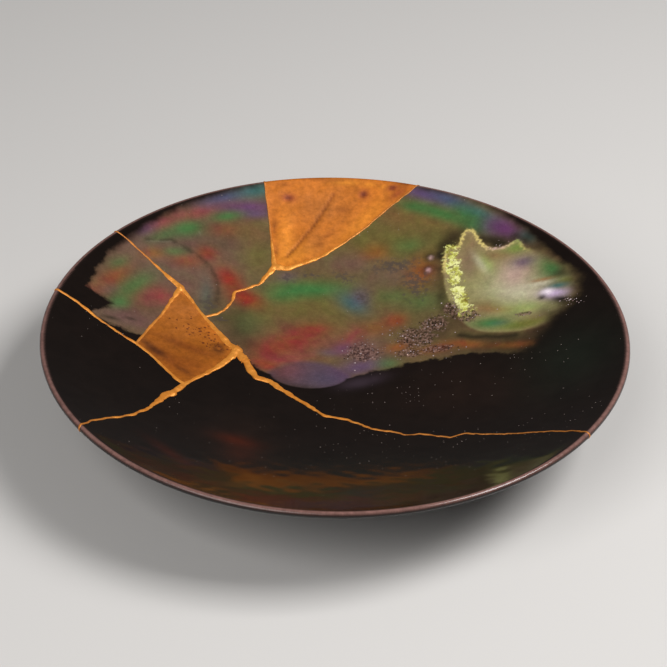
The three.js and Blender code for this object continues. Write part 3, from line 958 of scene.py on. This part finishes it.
def glaze_material():
    """Near-black glaze with a pool of iridescent luster that is partly a painted reflection, gritty
    patches, a milky island, painted highlights and glints, and a bare foot.
    """
    s = Shade("iridescent_glaze")
    haze = s.noise(8, 4, 0.55, 0.5)
    grain = s.noise(1.0, 4, 0.7)
    ragged = s.maths("SUBTRACT", s.noise(5, 6, 0.62), 0.5)

    # Luster inside the pool, partly a painted reflection; dark glaze with faint painted reflections outside
    # it
    edge = s.maths("MULTIPLY_ADD", ragged, s.attribute("wobble"), s.attribute("luster_reflection_pool"))
    inside = s.step(s.maths("DIVIDE", edge, s.attribute("soft")), -0.4, 1)
    patches = s.between(s.noise(3.5, 5, 0.62), 0.62, 1.38)
    mottle = s.maths("MULTIPLY", s.between(grain, 0.72, 1.28), patches)
    luster = s.tint(s.attribute("luster", "Color"), s.between(haze, 0.45, 0.55), mottle)
    dark = s.tint(s.attribute("ground", "Color"), 0.5, s.between(haze, 0.6, 1.4))
    colour = s.blend(inside, dark, luster)

    # The island's upper edge with a painted glint along it, and the blotched band on its left
    edge_glint = s.maths("MULTIPLY", s.attribute("edge_glint"), s.between(grain, 0.5, 1.4))
    colour = s.blend(edge_glint, colour, s.tint(s.attribute("edge", "Color"), 0.5, s.between(grain, 0.7, 1.3)))
    band = s.attribute("blotch")
    blotches = s.step(s.maths("MULTIPLY_ADD", band, 0.19, s.noise(2.2, 5, 0.75)), 0.6, 0.68)
    yellow = s.ramp(s.step(s.noise(3, 5, 0.7), 0.32, 0.62), YELLOWS)
    colour = s.blend(s.maths("MULTIPLY", blotches, s.step(band, 0.1, 0.5)), colour, yellow)

    # Speckles, burst bubbles with dark holes, and pale dots painted as glints on the froth
    speckled = s.attribute("speckled")
    specks = s.step(s.maths("MULTIPLY_ADD", speckled, 0.2, s.noise(1.7, 4, 0.65)), 0.6, 0.76)
    specks = s.maths("MULTIPLY", specks, s.maths("MULTIPLY", speckled, 0.75))
    colour = s.blend(specks, colour, paint(SPECK))
    grit = s.attribute("grit")
    patchy = s.maths("SUBTRACT", s.noise(2.6, 4, 0.65), 0.5)
    crusted = s.step(s.maths("MULTIPLY_ADD", patchy, 1.4, grit), 0.3, 0.7)
    crust = s.ramp(s.step(s.noise(0.9, 3, 0.6), 0.36, 0.64), CRUST)
    colour = s.blend(s.maths("MULTIPLY", crusted, 0.72), colour, crust)
    holes = s.dots(1.0, s.maths("MULTIPLY", crusted, 0.35), 0.3, 0.9)
    colour = s.blend(s.maths("MULTIPLY", holes, 0.8), colour, paint(HOLE))
    froth_glints = s.dots(0.8, s.maths("MULTIPLY", s.attribute("froth_glints"), 0.4), 0.2, 0.6)
    pale = s.step(s.noise(0.9, 2), 0.4, 0.7)
    colour = s.blend(froth_glints, colour, s.blend(pale, paint(FROTH_GLINT_GREY), paint(FROTH_GLINT_WHITE)))

    # The dark vein, dust, the worn lip with a painted pinkish sheen, and the bare foot
    vein = s.maths("MULTIPLY", s.attribute("vein"), s.step(s.noise(3, 4), 0.3, 0.6))
    colour = s.blend(s.maths("MULTIPLY", vein, 0.52), colour, paint(VEIN_DARK))
    drift = s.maths("MULTIPLY", s.attribute("dust"), s.step(s.noise(6, 3), 0.35, 0.65))
    dust = s.dots(1.3, drift, 0.1, 0.34)
    colour = s.blend(s.maths("MULTIPLY", dust, 0.6), colour, paint(DUST))
    # The lip's worn colour, a pinkish brown, also stands for a painted sheen along it
    lip_wear_and_sheen = s.maths("MULTIPLY", s.attribute("lip"), s.between(s.noise(1.6, 5, 0.7), 0.1, 1.2))
    colour = s.blend(lip_wear_and_sheen, colour, paint(WORN_LIP_SHEEN))
    clay = s.blend(s.noise(1.2, 5), paint(CLAY), paint(PALE_CLAY))
    colour = s.blend(s.attribute("bare"), colour, clay)

    roughness = s.maths("MULTIPLY_ADD", inside, 0.17, 0.07)
    roughness = s.maths("MULTIPLY_ADD", grain, 0.06, roughness)
    roughness = s.maths("MULTIPLY_ADD", s.attribute("bare"), 0.6, roughness)
    s.bump(s.maths("MULTIPLY_ADD", grit, s.noise(0.9, 3), s.maths("MULTIPLY", grain, 0.05)), 0.35, 0.3)
    metal = s.maths("MULTIPLY", inside, 0.2)
    return s.finish(Base_Color=colour, Roughness=roughness, Metallic=metal, Specular_IOR_Level=0.32)


def seam_material():
    """Powdered gold on lacquer: satin, with duller and brighter stretches."""
    s = Shade("gold_lacquer")
    patchy = s.noise(5, 4, 0.6)
    grain = s.noise(0.7, 3, 0.6)
    colour = s.ramp(patchy, SEAM_GOLDS)
    colour = s.blend(s.step(grain, 0.6, 0.8), colour, paint(SEAM_GRAIN))
    colour = s.blend(s.attribute("thin"), colour, s.blend(grain, paint(THIN_DARK), paint(THIN_PALE)))
    s.bump(s.maths("MULTIPLY_ADD", grain, 0.5, patchy), 0.35, 0.25)
    return s.finish(Base_Color=colour, Roughness=s.between(grain, 0.36, 0.52), Metallic=0.4)


def fill_material():
    """Gold over lacquer fills, stained and pitted in places."""
    s = Shade("gold_fill")
    broad = s.noise(9, 4, 0.55, 0.4)
    spots = s.noise(1.6, 4, 0.65)
    grain = s.noise(0.6, 2)
    clouded = s.maths("MULTIPLY", s.between(broad, 0.65, 1.35), s.between(spots, 0.55, 1.45))
    colour = s.tint(s.attribute("tone", "Color"), 0.5, clouded)
    pits = s.dots(1.1, s.attribute("pitted"), 0.3, 1.1)
    colour = s.blend(s.maths("MULTIPLY", pits, 0.75), colour, paint(FILL_PIT))
    s.bump(s.maths("MULTIPLY_ADD", s.attribute("pitted"), spots, s.maths("MULTIPLY", grain, 0.2)), 0.3, 0.3)
    return s.finish(Base_Color=colour, Roughness=s.between(spots, 0.36, 0.56), Metallic=0.3)


# Fields that the materials read, on the inside and on the underside

nothing = np.zeros(len(points))
x, y = points.T
under_height = on_profile(UNDERSIDE, radius, -1)[0]
lip = smooth_step(radius, RIM_RADIUS - 1.6, RIM_RADIUS - 1)
lip *= smooth_step(-radius, -RIM_RADIUS, 0.4 - RIM_RADIUS)
towards_back = smooth_step(radius, 62, 76) * smooth_step(y, 25, 55)
towards_right = smooth_step(x, 48, 70) * smooth_step(-y, -45, -30)
by_lens = ridge(lens_depth(points), 2) * smooth_step(-y, -6, -2)

# The dark glaze's colour with its faint painted reflections
ground = brushed(points, "black", GROUND_REFLECTIONS)
luster = brushed(points, "muted", LUSTER)
lens_rise = 1 - 0.6 * by_lens + 2 * smooth_step(y, 0, 8)
lens = smooth_step(lens_depth(points), -0.3 - 1.6 * by_lens, lens_rise)
luster = blended(luster, brushed(points, "lavender", LENS_LUSTER), 0.9 * lens)
blurred = 4 * smooth_step(x, 60, 70)
island_share = smooth_step(island_depth / (1 + blurred), -0.4, 0.6)
# A painted shade round the island, strongest along its top edge and weaker at its sides
painted_shade_halo = ridge(island_depth + 1.8, 1.8 + blurred)
painted_shade_halo *= (0.35 + 0.65 * smooth_step(y, 46, 56)) * (1 - 0.75 * smooth_step(y, 60, 65))
painted_shade_halo *= np.clip(0.65 + 0.25 * swells(points, 6, 8), 0, 0.95)
luster = blended(luster, linear(COLOURS["umber"]), painted_shade_halo)
luster = blended(luster, brushed(points, "sand", ISLAND_LUSTER), island_share)
luster = blended(luster, linear(COLOURS["umber"]), 0.8 * ridge(line_distance(points, SHORE), 1.2))
# A painted glint along the island's raised top edge
frayed = island_depth - 0.3 + 0.22 * swells(points, 1.5, 9)
painted_edge_glint = ridge(frayed, 0.5)
painted_edge_glint *= smooth_step(y, 47, 52) * smooth_step(-x, -66, -56)
# Where pale dots are painted as glints: the gritty patches right of the middle and two sparkling spots by
# the island
froth_glints = np.maximum(grit * smooth_step(x, 0, 6), 2 * crowding(points, GLINTING_FROTH))
glaze_fields = {
    "ground": (ground, np.tile(linear(COLOURS["black"]), (len(points), 1))),
    "luster": (luster, ground),
    "luster_reflection_pool": (pool_depth, nothing - 20),
    "wobble": (6 - 3 * towards_back - 5.5 * by_lens, nothing),
    "soft": (1.2 + 1.6 * towards_back - 0.6 * by_lens + 4 * towards_right, nothing + 1),
    "edge": (brushed(points, "straw", ISLAND_EDGE_GLINT), ground),
    "speckled": (crowding(points, SPECKLED), nothing),
    "edge_glint": (painted_edge_glint, nothing),
    "blotch": (ridge(line_distance(points, BAND_LEFT), 2.9), nothing),
    "grit": (grit, nothing),
    "dust": (0.02 + 0.2 * crowding(points, DUSTY), nothing + 0.02),
    "vein": (ridge(vein_gap, 1.0), nothing),
    "froth_glints": (froth_glints, nothing),
    "lip": (lip, nothing),
    "bare": (nothing, smooth_step(-under_height, -0.5, -0.3)),
}

dull = smooth_step(-y, -50, -40)
tone = blended(brushed(points, "gold", WEDGE_TONES), brushed(points, "bronze", WELL_TONES), dull)
tone = blended(tone, linear(COLOURS["rust"]), 0.75 * ridge(line_distance(points, GROOVE), 0.55))
under_tone = blended(brushed(points, "gold", []), brushed(points, "bronze", []), dull)
pitted = dull * crowding(points, PITTED)
fill_fields = {"tone": (tone, under_tone), "pitted": (pitted, nothing)}

# The pieces

glaze = glaze_material()
glaze_top, glaze_low = surfaces(glaze_relief(), nothing, 0)
for name in ("sherd_left", "sherd_back_left", "sherd_right", "sherd_front", "sherd_front_left"):
    make_piece(name, glaze_top, glaze_low, glaze_fields, glaze)

gold_fill = fill_material()
fill_top, fill_low = surfaces(fill_relief(), 0.6 * fill_relief(), 0)
for name in ("rim_fill", "well_fill"):
    make_piece(name, fill_top, fill_low, fill_fields, gold_fill)

thin = 0.7 * smooth_step(-gold_half, -0.5, -0.28)
seam_fields = {"thin": (thin, thin)}
bead_top, bead_low = surfaces(bead_relief(), bead_relief(), TABLE_CLEARANCE)
make_piece("gold_seams", bead_top, bead_low, seam_fields, seam_material())


# Stage: floor, lights and camera

FLOOR_SIZE = 6.0
FLOOR_COLOUR = (0.62, 0.6, 0.58, 1)
KEY_PLACE = (0.55, -0.05, 0.75)
KEY_SIZE = 0.4
FILL_PLACE = (-0.5, -0.7, 0.8)
FILL_SIZE = 0.8
SOFTBOX_POWER = 8
WORLD_BRIGHTNESS = 0.07


def make_floor():
    mesh = bpy.data.meshes.new("floor")
    reach = FLOOR_SIZE / 2
    corners = [(-reach, -reach, 0), (reach, -reach, 0), (reach, reach, 0), (-reach, reach, 0)]
    mesh.from_pydata(corners, [], [(0, 1, 2, 3)])
    s = Shade("floor")
    s.finish(Base_Color=FLOOR_COLOUR, Roughness=0.8)
    mesh.materials.append(s.material)
    floor = bpy.data.objects.new("floor", mesh)
    bpy.context.collection.objects.link(floor)


def make_softbox(name, place, size, power):
    lamp = bpy.data.lights.new(name, "AREA")
    lamp.shape = "SQUARE"
    lamp.size = size
    lamp.energy = power
    softbox = bpy.data.objects.new(name, lamp)
    softbox.location = place
    softbox.rotation_euler = (-Vector(place)).to_track_quat("-Z", "Y").to_euler()
    bpy.context.collection.objects.link(softbox)


def make_world(brightness):
    world = bpy.data.worlds.new("studio")
    world.use_nodes = True
    world.node_tree.nodes["Background"].inputs["Color"].default_value = (brightness,) * 3 + (1,)
    bpy.context.scene.world = world


CAMERA_ELEVATION = math.radians(34.79)
CAMERA_ROLL = math.radians(0.94)
CAMERA_DISTANCE = 0.65
CAMERA_TARGET = Vector((-0.0005, 0.0173, 0.015))
CAMERA_VIEW = math.radians(18.51)


def make_camera():
    lens = bpy.data.cameras.new("camera")
    lens.angle = CAMERA_VIEW
    camera = bpy.data.objects.new("camera", lens)
    back = Vector((0, -math.cos(CAMERA_ELEVATION), math.sin(CAMERA_ELEVATION)))
    right = Vector((1, 0, 0))
    level = Matrix((right, back.cross(right), back)).transposed()
    turned = level @ Matrix.Rotation(CAMERA_ROLL, 3, "Z")
    camera.matrix_world = Matrix.Translation(CAMERA_TARGET + CAMERA_DISTANCE * back) @ turned.to_4x4()
    bpy.context.collection.objects.link(camera)
    bpy.context.scene.camera = camera


make_floor()
make_softbox("key", KEY_PLACE, KEY_SIZE, SOFTBOX_POWER)
make_softbox("fill", FILL_PLACE, FILL_SIZE, SOFTBOX_POWER)
make_world(WORLD_BRIGHTNESS)
make_camera()
bpy.context.scene.view_settings.view_transform = "Standard"
